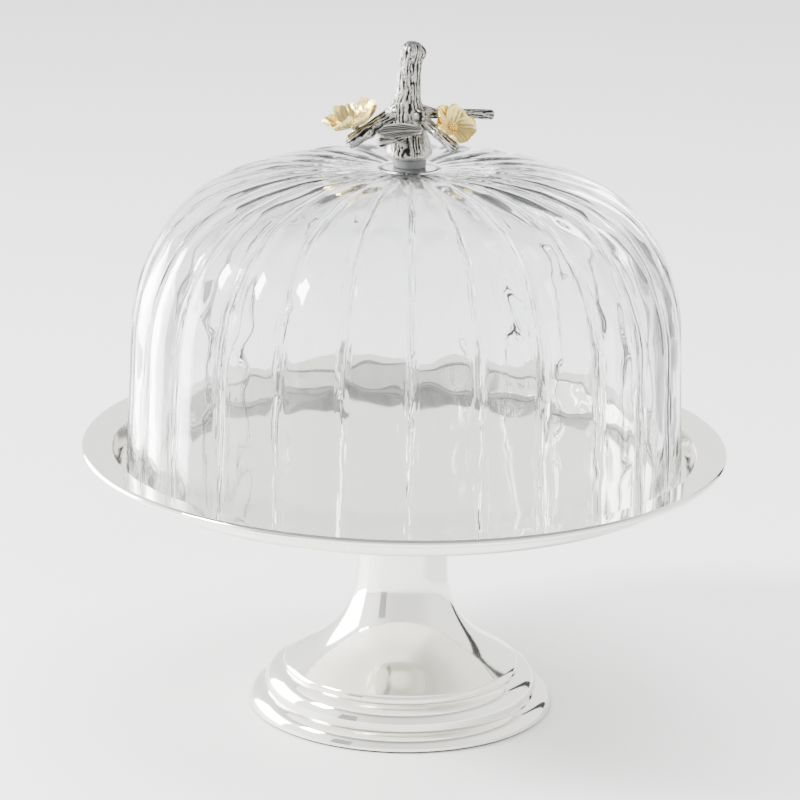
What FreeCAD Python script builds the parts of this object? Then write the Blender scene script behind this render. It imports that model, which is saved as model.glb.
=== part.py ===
"""Footed cake stand with a glass dome, and a cast twig finial that carries two flowers.

Frame: the table is z = 0, +Z is up, the pedestal's axis is the Z axis, and -Y is the front.
Lengths are millimetres and angles are degrees.
"""
import FreeCAD, Part
import math
import os
import re

import Sketcher

VECTOR = FreeCAD.Vector
UP = VECTOR(0, 0, 1)

# Each size that can be set by itself: its name, its value and what it measures.
SIZES = [
    # the stand
    ("rim_height", 133.3, "table to the top of the plate's rim"),
    ("sheet_gauge", 1.2, "spun metal of the plate and the pedestal"),
    ("rim_reach", 20.4, "flat of the well to the outside of the plate's rolled edge"),
    ("well_depth", 12.3, "top of the rim to the floor that the dome stands on"),
    ("well_fillet", 4.0, "round between the floor and the wall of the well"),
    ("wall_lean", 72.0, "slope of the well's wall"),
    ("shoulder_round", 2.2, "round between the wall and the rim"),
    ("rim_lean", 4.0, "slope of the rim"),
    ("curl_radius", 1.7, "outside radius of the rolled edge"),
    ("foot_radius", 74.4, "widest circle of the pedestal"),
    ("foot_lip", 9.0, "inward lip under the foot that carries the pad"),
    ("pad_height", 1.0, "thickness of the pad on the table"),
    ("pad_inset", 1.0, "foot's edge to the pad's edge"),
    ("first_round", 7.5, "radius of the lowest of the three rolls"),
    ("second_round", 9.0, "radius of the middle roll"),
    ("second_rise", 1.8, "upright below the middle roll"),
    ("third_round", 3.2, "radius of the upper roll"),
    ("third_rise", 1.0, "upright below the upper roll"),
    ("cone_lean", 31.5, "slope of the cone between the upper roll and the stem"),
    ("sweep_radius", 47.0, "hollow sweep from the cone into the stem"),
    ("stem_radius", 22.3, "narrowest part of the stem"),
    ("stem_length", 14.0, "straight part of the stem"),
    ("neck_radius", 34.0, "flange under the plate"),
    # what clamps the plate to the pedestal
    ("stud_radius", 4.0, "stud under the plate, M8"),
    ("stud_length", 15.8, "stud below its flange"),
    ("stud_flange_radius", 13.0, "flange that is brazed to the plate"),
    ("flange_clearance", 0.5, "gap between that flange and the pedestal's hole"),
    ("clamp_radius", 19.5, "clamp disc inside the neck"),
    ("clamp_height", 3.0, "thickness of the clamp disc"),
    ("bolt_clearance", 0.3, "gap between a stud and a plain hole"),
    ("spring_washer_radius", 7.0, "outside of the split washer"),
    ("spring_washer_height", 1.6, "thickness of the split washer"),
    ("spring_washer_slot", 0.8, "width of its split"),
    ("stand_nut_width", 13.0, "across the flats, M8"),
    ("stand_nut_height", 6.5, "height of the nut"),
    # the glass dome
    ("glass_wall", 3.6, "thickness of the glass"),
    ("dome_radius", 134.9, "outside of the dome's foot"),
    ("foot_grind", 1.0, "glass that is ground off to make the dome's foot flat"),
    ("dome_seat_gap", 0.7, "dome's foot to the start of the well's fillet"),
    ("wall_taper", 2.6, "what the straight wall leans in"),
    ("wall_rise", 68.8, "height of the straight wall above the floor of the well"),
    ("shoulder_reach", 13.6, "what the lower arc of the shoulder comes in"),
    ("shoulder_rise", 45.3, "height of that arc"),
    ("haunch_reach", 30.4, "what the upper arc of the shoulder comes in"),
    ("haunch_rise", 25.4, "height of that arc"),
    ("crown_rise", 8.9, "upper arc of the shoulder to the top of the button"),
    ("button_radius", 14.2, "flat button at the middle of the crown"),
    ("button_rise", 1.0, "height of the button above the crown"),
    ("dome_hole_radius", 3.0, "hole in the crown"),
    # what holds the finial to the glass
    ("screw_radius", 2.0, "screw of the finial, M4"),
    ("screw_depth", 8.5, "length of the screw inside the casting"),
    ("screw_tail", 8.6, "length of the screw below its nut"),
    ("gasket_radius", 7.9, "rings above and below the glass"),
    ("outer_gasket_height", 4.2, "ring above the glass"),
    ("inner_gasket_height", 1.5, "ring below the glass"),
    ("inner_washer_radius", 9.0, "metal washer below the glass"),
    ("inner_washer_height", 1.2, "thickness of that washer"),
    ("dome_nut_width", 7.0, "across the flats, M4"),
    ("dome_nut_height", 3.2, "height of the nut"),
    # the finial, whose heights start at its own underside
    ("boss_offset", -0.4, "middle of the boss from the screw, because the casting is irregular"),
    ("boss_foot_radius", 8.7, "underside of the boss"),
    ("boss_radius", 10.8, "widest circle of the boss"),
    ("boss_belly_height", 3.0, "height of that circle"),
    ("boss_belly_round", 3.6, "round from the underside to the belly"),
    ("boss_neck_radius", 7.4, "narrow part above the boss"),
    ("boss_neck_height", 13.5, "height of the narrow part"),
    ("boss_flank_round", 30.0, "bulge of the boss between the belly and the neck"),
    ("knot_radius", 3.8, "knot on the trunk's right side"),
    ("knot_offset", 3.1, "screw's axis to the knot's middle"),
    ("knot_height", 50.5, "height of the knot's middle"),
    # the flowers, the pins through them and the leaf
    ("petal_gauge", 1.1, "thickness of the petals"),
    ("cup_floor_share", 0.30, "flat middle of a flower over its radius"),
    ("cup_inner_round", 1.1, "round of a flower's hollow over the reach of its petals"),
    ("petal_notch", 0.42, "depth of the gaps between petals over the flower's radius"),
    ("gap_reach", 1.3, "end of the cut that makes such a gap over the flower's radius"),
    ("gap_spread", 0.55, "width of that cut at its end over the width of a fifth of the flower"),
    ("pin_radius", 1.1, "pin through each flower"),
    ("stamen_radius", 2.6, "head of that pin"),
    ("pin_bite", 2.5, "length of the pin inside its stalk"),
    ("stalk_radius", 1.9, "short stalk between a flower and its branch"),
    ("stalk_length", 4.5, "length of the stalk, whose lower end is inside the branch"),
    ("leaf_length", 21.0, "tip to stalk"),
    ("leaf_width", 9.5, "widest part of the leaf"),
    ("leaf_gauge", 1.3, "thickness of the leaf"),
]

# Limbs of the casting: foot and tip as x, y and height above the finial's underside, and their two radii.
LIMBS = {
    "root": ((-0.6, 0.0, 11.0), (-1.0, 0.0, 36.0), (7.8, 5.5)),
    "trunk": ((-1.3, 0.0, 32.0), (1.1, 0.0, 55.3), (5.2, 5.0)),
    "left_branch": ((-3.0, 0.0, 24.1), (-29.0, -4.0, 7.4), (3.7, 2.9)),
    "right_front_branch": ((3.5, -1.2, 20.4), (20.6, -12.0, 7.6), (2.6, 2.0)),
    "right_back_branch": ((2.0, 1.5, 22.0), (38.9, 8.0, 20.4), (2.8, 2.1)),
    "front_twig": ((3.5, -7.5, 14.4), (-14.5, -13.5, 10.4), (2.0, 1.6)),
}

# Flowers: the middle of the underside, as x, y and height above the finial's underside, the way it
# faces, the way one gap between two petals points, its radius and its depth.
FLOWERS = {
    "left": ((-26.4, -2.6, 15.0), (-0.33, -0.13, 0.935), (0.2, -1.0, -0.2), 14.4, 5.2),
    "right": ((19.2, -9.4, 16.4), (0.50, -0.427, 0.752), (-0.9, -0.4, 0.4), 11.4, 4.0),
}
PETALS = 5
HEX_SIDES = 6

# The leaf: its middle, the way it faces and the way its stalk points.
LEAF = ((-4.6, -13.2, 14.6), (0.05, -0.50, 0.86), (0.97, 0.0, 0.14))


doc = FreeCAD.newDocument("cake_stand_dome")
sheet = doc.addObject("Spreadsheet::Sheet", "Sizes")
places = []
for limb, (foot, tip, radii) in LIMBS.items():
    for end, point in (("foot", foot), ("tip", tip)):
        places += [(f"{limb}_{end}_{axis}", size, "place") for axis, size in zip("xyz", point)]
    places += [(f"{limb}_{end}_radius", size, "radius") for end, size in zip(("foot", "tip"), radii)]
for side, (middle, _faces, _gap, radius, depth) in FLOWERS.items():
    places += [(f"{side}_flower_{axis}", size, "place") for axis, size in zip("xyz", middle)]
    places += [(f"{side}_flower_radius", radius, "petal tips"), (f"{side}_flower_depth", depth, "cup")]
for row, (name, size, meaning) in enumerate(SIZES + places, start=1):
    sheet.set(f"A{row}", name)
    sheet.set(f"B{row}", str(size))
    sheet.set(f"C{row}", meaning)
    sheet.setAlias(f"B{row}", name)
doc.recompute()
NAMES = {name for name, *_ in SIZES + places}

# Heights and radii that follow from the sizes above.
FLOOR = "(rim_height - well_depth)"
PLATE_UNDERSIDE = f"({FLOOR} - sheet_gauge)"
CLAMP_TOP = f"({PLATE_UNDERSIDE} - sheet_gauge)"
WELL_FLAT = "(dome_radius + dome_seat_gap)"
PLATE_RADIUS = f"({WELL_FLAT} + rim_reach)"
WALL_TOP = ("(dome_radius - wall_taper)", f"({FLOOR} + wall_rise)")
SHOULDER_TOP = (f"({WALL_TOP[0]} - shoulder_reach)", f"({WALL_TOP[1]} + shoulder_rise)")
HAUNCH_TOP = (f"({SHOULDER_TOP[0]} - haunch_reach)", f"({SHOULDER_TOP[1]} + haunch_rise)")
BUTTON_TOP = f"({HAUNCH_TOP[1]} + crown_rise)"
CROWN_UNDERSIDE = f"({BUTTON_TOP} - glass_wall)"
FINIAL_BASE = f"({BUTTON_TOP} + outer_gasket_height)"


def bound(text):
    """The expression with each size's plain name turned into its cell of the sheet."""
    return re.sub(r"[a-z_]+", lambda m: f"Sizes.{m[0]}" if m[0] in NAMES else m[0], str(text))


def value(text):
    return float(sheet.evalExpression(bound(text)))


def bind(thing, **properties):
    """Ties properties of an object to expressions of the sizes. A double underscore stands for a dot."""
    for name, text in properties.items():
        thing.setExpression(name.replace("__", "."), bound(text))


def add(kind, label, **properties):
    thing = doc.addObject(kind, label)
    thing.Label = label
    bind(thing, **properties)
    return thing


def hold(sketch, geometry, end, point):
    """Ties one end of a line or arc to a radius and a height."""
    for name, axis, text in (("DistanceX", -2, point[0]), ("DistanceY", -1, point[1])):
        if value(text) == 0:
            sketch.addConstraint(Sketcher.Constraint("PointOnObject", geometry, end, axis))
        else:
            index = sketch.addConstraint(Sketcher.Constraint(name, geometry, end, value(text)))
            sketch.setExpression(f"Constraints[{index}]", bound(text))


def draw(sketch, start, steps, closed=True):
    """Draws a chain of lines and arcs through points (radius, height).

    A step with a third entry is an arc: "tangent" carries on from the step before, and a size is its
    radius, which turns left where it is positive and right where it is negative.
    """
    here = [value(text) for text in start]
    heading, before, first_end = 0.0, None, None
    if closed:
        steps = steps + [start]
    for number, step in enumerate(steps):
        there = [value(text) for text in step[:2]]
        chord = math.atan2(there[1] - here[1], there[0] - here[0])
        length = math.hypot(there[0] - here[0], there[1] - here[1])
        turn = step[2] if len(step) > 2 else None
        begin, end = 1, 2
        if turn is None:
            piece = Part.LineSegment(VECTOR(*here, 0), VECTOR(*there, 0))
            heading = chord
        else:
            if turn == "tangent":
                half = (chord - heading + math.pi) % (2 * math.pi) - math.pi
            else:
                half = math.asin(length / 2 / value(turn))
            radius = length / 2 / math.sin(half)
            heading = chord - half
            centre = VECTOR(here[0] - radius * math.sin(heading), here[1] + radius * math.cos(heading), 0)
            side = math.copysign(math.pi / 2, radius)
            angles = [heading - side, heading + 2 * half - side]
            if radius < 0:
                angles.reverse()
                begin, end = 2, 1
            piece = Part.ArcOfCircle(Part.Circle(centre, UP, abs(radius)), *angles)
            heading += 2 * half
        geometry = sketch.addGeometry(piece)
        if before is None:
            hold(sketch, geometry, begin, start)
            first_end = geometry, begin
        else:
            joint = "Tangent" if turn == "tangent" else "Coincident"
            sketch.addConstraint(Sketcher.Constraint(joint, *before, geometry, begin))
        if closed and number == len(steps) - 1:
            sketch.addConstraint(Sketcher.Constraint("Coincident", geometry, end, *first_end))
        else:
            hold(sketch, geometry, end, step)
        if turn not in (None, "tangent"):
            index = sketch.addConstraint(Sketcher.Constraint("Radius", geometry, abs(value(turn))))
            sketch.setExpression(f"Constraints[{index}]", bound(f"abs({turn})"))
        before = geometry, end
        here = there


def body_sketch(body, name, role):
    """A sketch on one of its body's own origin planes."""
    sketch = body.newObject("Sketcher::SketchObject", name)
    plane = next(f for f in body.Origin.OriginFeatures if f.Role == role)
    sketch.AttachmentSupport = (plane, [""])
    sketch.MapMode = "FlatFace"
    return sketch


def turned(label, start, steps):
    """A body turned about its Z axis from a closed outline."""
    body = add("PartDesign::Body", label)
    sketch = body_sketch(body, f"{label}_outline", "XZ_Plane")
    draw(sketch, start, steps)
    turn = body.newObject("PartDesign::Revolution", f"{label}_turn")
    turn.Profile = sketch
    turn.ReferenceAxis = (sketch, ["V_Axis"])
    turn.Angle = 360
    sketch.Visibility = False
    return body


def ring(label, inner, outer, bottom, top):
    return turned(label, (inner, bottom), [(outer, bottom), (outer, top), (inner, top)])


def shell(label, gauge, start, steps):
    """A wall of one thickness, spun from the open outline of one of its skins.

    The wall lies to the left of the outline's direction, or to the right where the gauge is negative.
    """
    sketch = add("Sketcher::SketchObject", f"{label}_skin")
    sketch.Placement.Rotation = FreeCAD.Rotation(VECTOR(1, 0, 0), 90)
    draw(sketch, start, steps, closed=False)
    section = add("Part::Offset2D", f"{label}_section", Value=gauge)
    section.Source = sketch
    section.Mode = "Skin"
    section.Join = "Intersection"
    section.Fill = True
    spin = add("Part::Revolution", label)
    spin.Source = section
    spin.Axis = UP
    spin.Angle = 360
    spin.Solid = True
    return spin


def cut(label, base, tool):
    result = add("Part::Cut", label)
    result.Base, result.Tool = base, tool
    return result


def nut(label, width, height, bottom, hole):
    """A hexagon nut, whose hole has the radius of its thread."""
    block = add("Part::Prism", f"{label}_block", Circumradius=f"{width} / sqrt(3)", Height=height)
    block.Polygon = HEX_SIDES
    bore = add("Part::Cylinder", f"{label}_bore", Radius=hole, Height=height)
    for solid in (block, bore):
        bind(solid, Placement__Base__z=bottom)
    return cut(label, block, bore)


def plate():
    """The plate: a flat floor, the wall of the well, a gently sloping rim and a rolled edge."""
    lean, rise = "(wall_lean * 1 deg)", "(rim_lean * 1 deg)"
    fillet_r = f"({WELL_FLAT} + well_fillet * sin{lean})"
    fillet_z = f"({FLOOR} + well_fillet * (1 - cos{lean}))"
    curl_r = f"({PLATE_RADIUS} - curl_radius)"
    rim_r = f"({curl_r} - curl_radius * sin{rise})"
    rim_z = f"(rim_height - curl_radius * (1 - cos{rise}))"
    # the rim's line, followed inwards and down from the rolled edge
    drop = f"(shoulder_round * (cos{rise} - cos{lean}))"
    reach = f"(shoulder_round * (sin{lean} - sin{rise}))"
    run = f"(({rim_z} - {drop} - {fillet_z} - ({rim_r} - {reach} - {fillet_r}) * tan{rise})"
    wall_r = f"({fillet_r} + {run} / (tan{lean} - tan{rise})))"
    wall_z = f"({fillet_z} + ({wall_r} - {fillet_r}) * tan{lean})"
    return shell(
        "plate",
        "-sheet_gauge",
        ("0", FLOOR),
        [
            (WELL_FLAT, FLOOR),
            (fillet_r, fillet_z, "tangent"),
            (wall_r, wall_z),
            (f"({wall_r} + {reach})", f"({wall_z} + {drop})", "tangent"),
            (rim_r, rim_z),
            (PLATE_RADIUS, "(rim_height - curl_radius)", "tangent"),
            (curl_r, "(rim_height - 2 * curl_radius)", "tangent"),
        ],
    )


def pedestal():
    """The pedestal: three rolls, a cone, the stem's sweep and a flange for the plate."""
    second_foot = "(foot_radius - first_round)"
    third_foot = f"({second_foot} - second_round)"
    first_top = "(pad_height + first_round)"
    second_top = f"({first_top} + second_rise + second_round)"
    third_middle = f"({second_top} + third_rise)"
    lean = "(cone_lean * 1 deg)"
    cone_foot_r = f"({third_foot} - third_round * (1 - sin{lean}))"
    cone_foot_z = f"({third_middle} + third_round * cos{lean})"
    cone_top_r = f"(stem_radius + sweep_radius * (1 - sin{lean}))"
    cone_top_z = f"({cone_foot_z} + ({cone_foot_r} - {cone_top_r}) * tan{lean})"
    stem_foot_z = f"({cone_top_z} + sweep_radius * cos{lean})"
    return shell(
        "pedestal",
        "sheet_gauge",
        ("(foot_radius - foot_lip)", "pad_height"),
        [
            ("foot_radius", "pad_height"),
            (second_foot, first_top, "first_round"),
            (second_foot, f"({first_top} + second_rise)"),
            (third_foot, second_top, "second_round"),
            (third_foot, third_middle),
            (cone_foot_r, cone_foot_z, "tangent"),
            (cone_top_r, cone_top_z),
            ("stem_radius", stem_foot_z, "tangent"),
            ("stem_radius", f"({stem_foot_z} + stem_length)"),
            ("neck_radius", PLATE_UNDERSIDE, "tangent"),
            ("(stud_flange_radius + flange_clearance)", PLATE_UNDERSIDE),
        ],
    )


def stand_fastening():
    """The stud that is brazed under the plate, and what pulls the pedestal up to the plate."""
    stud_end = f"({CLAMP_TOP} - stud_length)"
    clamp_bottom = f"({CLAMP_TOP} - clamp_height)"
    washer_bottom = f"({clamp_bottom} - spring_washer_height)"
    nut_bottom = f"({washer_bottom} - stand_nut_height)"
    hole = "(stud_radius + bolt_clearance)"
    stud = turned(
        "plate_stud",
        ("0", stud_end),
        [
            ("stud_radius", stud_end),
            ("stud_radius", CLAMP_TOP),
            ("stud_flange_radius", CLAMP_TOP),
            ("stud_flange_radius", PLATE_UNDERSIDE),
            ("0", PLATE_UNDERSIDE),
        ],
    )
    clamp = ring("clamp_disc", hole, "clamp_radius", clamp_bottom, CLAMP_TOP)
    whole = ring("spring_washer_ring", hole, "spring_washer_radius", washer_bottom, clamp_bottom)
    split = add(
        "Part::Box",
        "spring_washer_split",
        Length="2 * spring_washer_radius",
        Width="spring_washer_slot",
        Height="2 * spring_washer_height",
        Placement__Base__y="-spring_washer_slot / 2",
        Placement__Base__z=f"{washer_bottom} - spring_washer_height / 2",
    )
    washer = cut("spring_washer", whole, split)
    return [
        stud,
        clamp,
        washer,
        nut("stand_nut", "stand_nut_width", "stand_nut_height", nut_bottom, "stud_radius"),
    ]


def foot_pad():
    return ring(
        "foot_pad",
        "(foot_radius - foot_lip + pad_inset)",
        "(foot_radius - pad_inset)",
        "0",
        "pad_height",
    )


def glass_dome():
    """The dome: a slightly tapered wall, a round shoulder, a low crown and a drilled button.

    Its blank reaches below the floor of the well, and is ground off level with it.
    """
    crown_edge = f"({BUTTON_TOP} - button_rise)"
    blank = shell(
        "glass_blank",
        "glass_wall",
        ("dome_radius", f"({FLOOR} - foot_grind)"),
        [
            WALL_TOP,
            (*SHOULDER_TOP, "tangent"),
            (*HAUNCH_TOP, "tangent"),
            ("(button_radius + button_rise)", crown_edge, "tangent"),
            ("button_radius", BUTTON_TOP),
            ("dome_hole_radius", BUTTON_TOP),
        ],
    )
    wheel = add(
        "Part::Cylinder",
        "grinding_wheel",
        Radius="2 * dome_radius",
        Height="2 * foot_grind",
        Placement__Base__z=f"{FLOOR} - 2 * foot_grind",
    )
    return cut("glass_dome", blank, wheel)


def finial_fastening():
    """The rings on both sides of the glass, and the screw and nut that clamp the finial to it."""
    hole = "(screw_radius + bolt_clearance)"
    gasket_bottom = f"({CROWN_UNDERSIDE} - inner_gasket_height)"
    washer_bottom = f"({gasket_bottom} - inner_washer_height)"
    nut_bottom = f"({washer_bottom} - dome_nut_height)"
    screw_bottom, screw_top = f"({nut_bottom} - screw_tail)", f"({FINIAL_BASE} + screw_depth)"
    screw = turned(
        "finial_screw",
        ("0", screw_bottom),
        [("screw_radius", screw_bottom), ("screw_radius", screw_top), ("0", screw_top)],
    )
    return [
        ring("outer_gasket", hole, "gasket_radius", BUTTON_TOP, FINIAL_BASE),
        ring("inner_gasket", hole, "gasket_radius", gasket_bottom, CROWN_UNDERSIDE),
        ring("inner_washer", hole, "inner_washer_radius", washer_bottom, gasket_bottom),
        screw,
        nut("dome_nut", "dome_nut_width", "dome_nut_height", nut_bottom, "screw_radius"),
    ]


def place(thing, base, faces, points=None):
    """Moves a piece so that its own +Z faces a given way and, where that is given, its +X another."""
    faces = VECTOR(*faces)
    if points is None:
        aim = FreeCAD.Rotation(UP, faces)
    else:
        aim = FreeCAD.Rotation(VECTOR(*points), VECTOR(), faces, "ZXY")
    thing.Placement = FreeCAD.Placement(base, aim)


def finial_point(prefix):
    """A place on the finial, read from the sheet, in the part's own frame."""
    x, y, z = (value(f"{prefix}_{axis}") for axis in "xyz")
    return VECTOR(x, y, value(FINIAL_BASE) + z)


def boss():
    """The bulb at the foot of the finial."""
    body = turned(
        "boss",
        ("0", "0"),
        [
            ("boss_foot_radius", "0"),
            ("boss_radius", "boss_belly_height", "boss_belly_round"),
            ("boss_neck_radius", "boss_neck_height", "boss_flank_round"),
            ("0", "boss_neck_height"),
        ],
    )
    bind(body, Placement__Base__x="boss_offset", Placement__Base__z=FINIAL_BASE)
    return body


def limb(name):
    foot, tip = finial_point(f"{name}_foot"), finial_point(f"{name}_tip")
    reach = " + ".join(f"({name}_tip_{axis} - {name}_foot_{axis})^2" for axis in "xyz")
    cone = add(
        "Part::Cone",
        name,
        Radius1=f"{name}_foot_radius",
        Radius2=f"{name}_tip_radius",
        Height=f"sqrt({reach})",
    )
    place(cone, foot, tip - foot)
    return cone


def below_flower(label, side, faces, radius, length):
    """A cylinder on a flower's axis, from below up to the flower's underside."""
    bar = add("Part::Cylinder", label, Radius=radius, Height=length)
    place(bar, finial_point(f"{side}_flower") - VECTOR(*faces).normalize() * value(length), faces)
    return bar


def pin(side, faces):
    """The pin that rivets a flower to its stalk, with its domed head of stamens inside the cup."""
    shank = below_flower(f"{side}_pin_shank", side, faces, "pin_radius", "pin_bite")
    bind(shank, Height="pin_bite + petal_gauge")
    head = add("Part::Sphere", f"{side}_pin_head", Radius="stamen_radius")
    head.Angle1 = 0
    place(head, finial_point(f"{side}_flower") + VECTOR(*faces).normalize() * value("petal_gauge"), faces)
    rivet = add("Part::Fuse", f"stamen_pin_{side}")
    rivet.Base, rivet.Tool = shank, head
    return rivet


def twig_finial():
    """The casting: boss, trunk, knot, branches and stalks in one piece, bored for its screw and pins."""
    knot = add("Part::Sphere", "knot", Radius="knot_radius")
    bind(knot, Placement__Base__x="knot_offset", Placement__Base__z=f"{FINIAL_BASE} + knot_height")
    screw_bore = add("Part::Cylinder", "screw_bore", Radius="screw_radius", Height="screw_depth")
    bind(screw_bore, Placement__Base__z=FINIAL_BASE)
    pieces, bores = [boss(), knot] + [limb(name) for name in LIMBS], [screw_bore]
    for side, (_, faces, *_rest) in FLOWERS.items():
        pieces.append(below_flower(f"{side}_stalk", side, faces, "stalk_radius", "stalk_length"))
        bores.append(below_flower(f"{side}_pin_bore", side, faces, "pin_radius", "pin_bite"))
    casting = add("Part::MultiFuse", "casting")
    casting.Shapes = pieces
    holes = add("Part::MultiFuse", "casting_holes")
    holes.Shapes = bores
    return cut("twig_finial", casting, holes)


def flower(side, faces, gap_points):
    """A cup of five petals: a turned cup with a wedge cut out between each two petals."""
    radius, depth = f"{side}_flower_radius", f"{side}_flower_depth"
    middle = f"(cup_floor_share * {radius})"
    label = f"flower_{side}"
    body = turned(
        label,
        ("pin_radius", "0"),
        [
            (middle, "0"),
            (radius, depth, "tangent"),
            (f"({radius} - petal_gauge)", f"({depth} + petal_gauge / 2)"),
            (middle, "petal_gauge", f"-cup_inner_round * ({radius} - {middle})"),
            ("pin_radius", "petal_gauge"),
        ],
    )
    gap_sketch = body_sketch(body, f"{label}_gap", "XY_Plane")
    inner, outer = f"({radius} * (1 - petal_notch))", f"(gap_reach * {radius})"
    half_width = f"({outer} * tan(180 deg / {PETALS}) * gap_spread)"
    draw(gap_sketch, (inner, "0"), [(outer, f"-{half_width}"), (outer, half_width)])
    doc.recompute()
    gap = body.newObject("PartDesign::Pocket", f"{label}_gap_cut")
    gap.Profile = gap_sketch
    gap.Type = "ThroughAll"
    gap.Midplane = True
    pattern = body.newObject("PartDesign::PolarPattern", f"{label}_gaps")
    pattern.Originals = [gap]
    pattern.Axis = (gap_sketch, ["N_Axis"])
    pattern.Angle = 360
    pattern.Occurrences = PETALS
    body.Tip = pattern
    place(body, finial_point(f"{side}_flower"), faces, gap_points)
    return body


def leaf():
    """The leaf that lies on the front twig: two arcs that meet in points."""
    body = add("PartDesign::Body", "leaf")
    sketch = body_sketch(body, "leaf_outline", "XY_Plane")
    half, side = "(leaf_length / 2)", "(leaf_width / 2)"
    arc = f"(({half}^2 + {side}^2) / (2 * {side}))"
    draw(sketch, (f"-{half}", "0"), [(half, "0", arc), (f"-{half}", "0", arc)], closed=False)
    pad = body.newObject("PartDesign::Pad", "leaf_pad")
    pad.Profile = sketch
    bind(pad, Length="leaf_gauge")
    middle, faces, points = LEAF
    place(body, VECTOR(*middle) + UP * value(FINIAL_BASE), faces, points)
    return body


parts = [plate(), pedestal(), foot_pad(), *stand_fastening(), glass_dome(), *finial_fastening()]
parts.append(twig_finial())
for side, (_, faces, gap_points, *_rest) in FLOWERS.items():
    parts += [flower(side, faces, gap_points), pin(side, faces)]
parts.append(leaf())
doc.recompute()

for thing in doc.Objects:
    if {"Invalid", "Error"} & set(thing.State):
        raise RuntimeError(f"{thing.Label} failed to build: {thing.State}")
os.makedirs("parts", exist_ok=True)
for part in parts:
    if part.Shape.isNull() or not part.Shape.isValid() or len(part.Shape.Solids) != 1:
        raise RuntimeError(f"{part.Label} is not one valid solid")
for part in parts:
    part.Shape.exportStep(f"parts/{part.Label}.step")
    print(part.Label, round(part.Shape.Volume, 1), part.Shape.optimalBoundingBox())
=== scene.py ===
"""Footed cake stand of silver plate with a fluted glass dome and a cast twig finial.

Each operator makes one piece, or a group of like pieces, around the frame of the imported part.
"""

import math

import bmesh
import bpy
from bpy.props import FloatProperty, FloatVectorProperty, IntProperty, PointerProperty
from mathutils import Matrix, Vector, noise


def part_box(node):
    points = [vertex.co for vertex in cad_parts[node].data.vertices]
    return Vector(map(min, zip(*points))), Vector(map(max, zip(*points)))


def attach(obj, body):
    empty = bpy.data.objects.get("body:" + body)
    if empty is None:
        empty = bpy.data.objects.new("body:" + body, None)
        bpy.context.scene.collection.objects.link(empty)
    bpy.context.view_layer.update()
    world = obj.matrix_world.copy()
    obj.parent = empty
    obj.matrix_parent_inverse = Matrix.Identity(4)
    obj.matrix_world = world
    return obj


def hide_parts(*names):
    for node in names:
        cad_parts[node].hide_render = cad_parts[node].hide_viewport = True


bl_info = {
    "name": "Cake Stand Dome",
    "version": (1, 0, 0),
    "blender": (4, 5, 0),
    "location": "View3D > Sidebar > Cake Stand",
    "description": "Makes a footed cake stand with a fluted glass dome and a twig finial",
    "category": "Add Mesh",
}

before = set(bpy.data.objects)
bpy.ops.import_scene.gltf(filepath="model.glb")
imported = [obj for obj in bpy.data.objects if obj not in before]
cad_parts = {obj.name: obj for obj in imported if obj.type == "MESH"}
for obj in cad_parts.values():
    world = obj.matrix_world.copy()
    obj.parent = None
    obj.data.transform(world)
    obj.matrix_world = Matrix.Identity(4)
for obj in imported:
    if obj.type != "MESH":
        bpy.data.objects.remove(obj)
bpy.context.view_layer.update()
UP = Vector((0, 0, 1))


def mm(size):
    return size * 0.001


def from_hex(text):
    """The linear colour of an sRGB hex value."""
    shares = [int(text[i : i + 2], 16) / 255 for i in (0, 2, 4)]
    return [s / 12.92 if s <= 0.04045 else ((s + 0.055) / 1.055) ** 2.4 for s in shares]


def top(node):
    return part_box(node)[1].z


def foot(node):
    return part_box(node)[0].z


def reach(node):
    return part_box(node)[1].x


# Sizes and colours


def length(name, about, size):
    """A size in millimetres, kept as Blender keeps a length."""
    return FloatProperty(name=name, description=about, default=mm(size), unit="LENGTH", precision=5)


def colour(name, about, text):
    return FloatVectorProperty(
        name=name, description=about, default=from_hex(text), subtype="COLOR", size=3, min=0, max=1
    )


def degrees(name, about, size):
    return FloatProperty(name=name, description=about, default=math.radians(size), unit="ROTATION")


class StandSizes(bpy.types.PropertyGroup):
    sheet_gauge: length("Sheet", "Thickness of the spun metal", 1.2)
    well_fillet: length("Well fillet", "Round between the well's floor and its wall", 3.0)
    well_edge: length("Well flat", "Radius of the flat floor of the well", 135.6)
    shoulder_round: length("Shoulder", "Round between the well's wall and the rim", 2.2)
    curl_radius: length("Rolled edge", "Outside radius of the plate's rolled edge", 1.7)
    wall_lean: degrees("Wall lean", "Slope of the well's wall", 72)
    rim_lean: degrees("Rim lean", "Slope of the rim", 4)
    foot_lip: length("Foot lip", "Inward lip under the foot", 9.0)
    first_round: length("First roll", "Radius of the lowest roll of the foot", 7.5)
    second_round: length("Second roll", "Radius of the middle roll", 9.0)
    second_rise: length("Second rise", "Upright below the middle roll", 1.8)
    third_round: length("Third roll", "Radius of the upper roll", 3.2)
    third_rise: length("Third rise", "Upright below the upper roll", 1.0)
    cone_lean: degrees("Cone lean", "Slope of the cone", 31.5)
    sweep_radius: length("Sweep", "Hollow sweep from the cone into the stem", 47.0)
    stem_radius: length("Stem", "Narrowest radius of the stem", 22.3)
    stem_length: length("Stem length", "Straight part of the stem", 14.0)
    neck_radius: length("Neck", "Radius of the pedestal under the plate", 34.0)
    neck_hole: length("Neck hole", "Hole in the pedestal's neck", 13.5)


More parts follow.
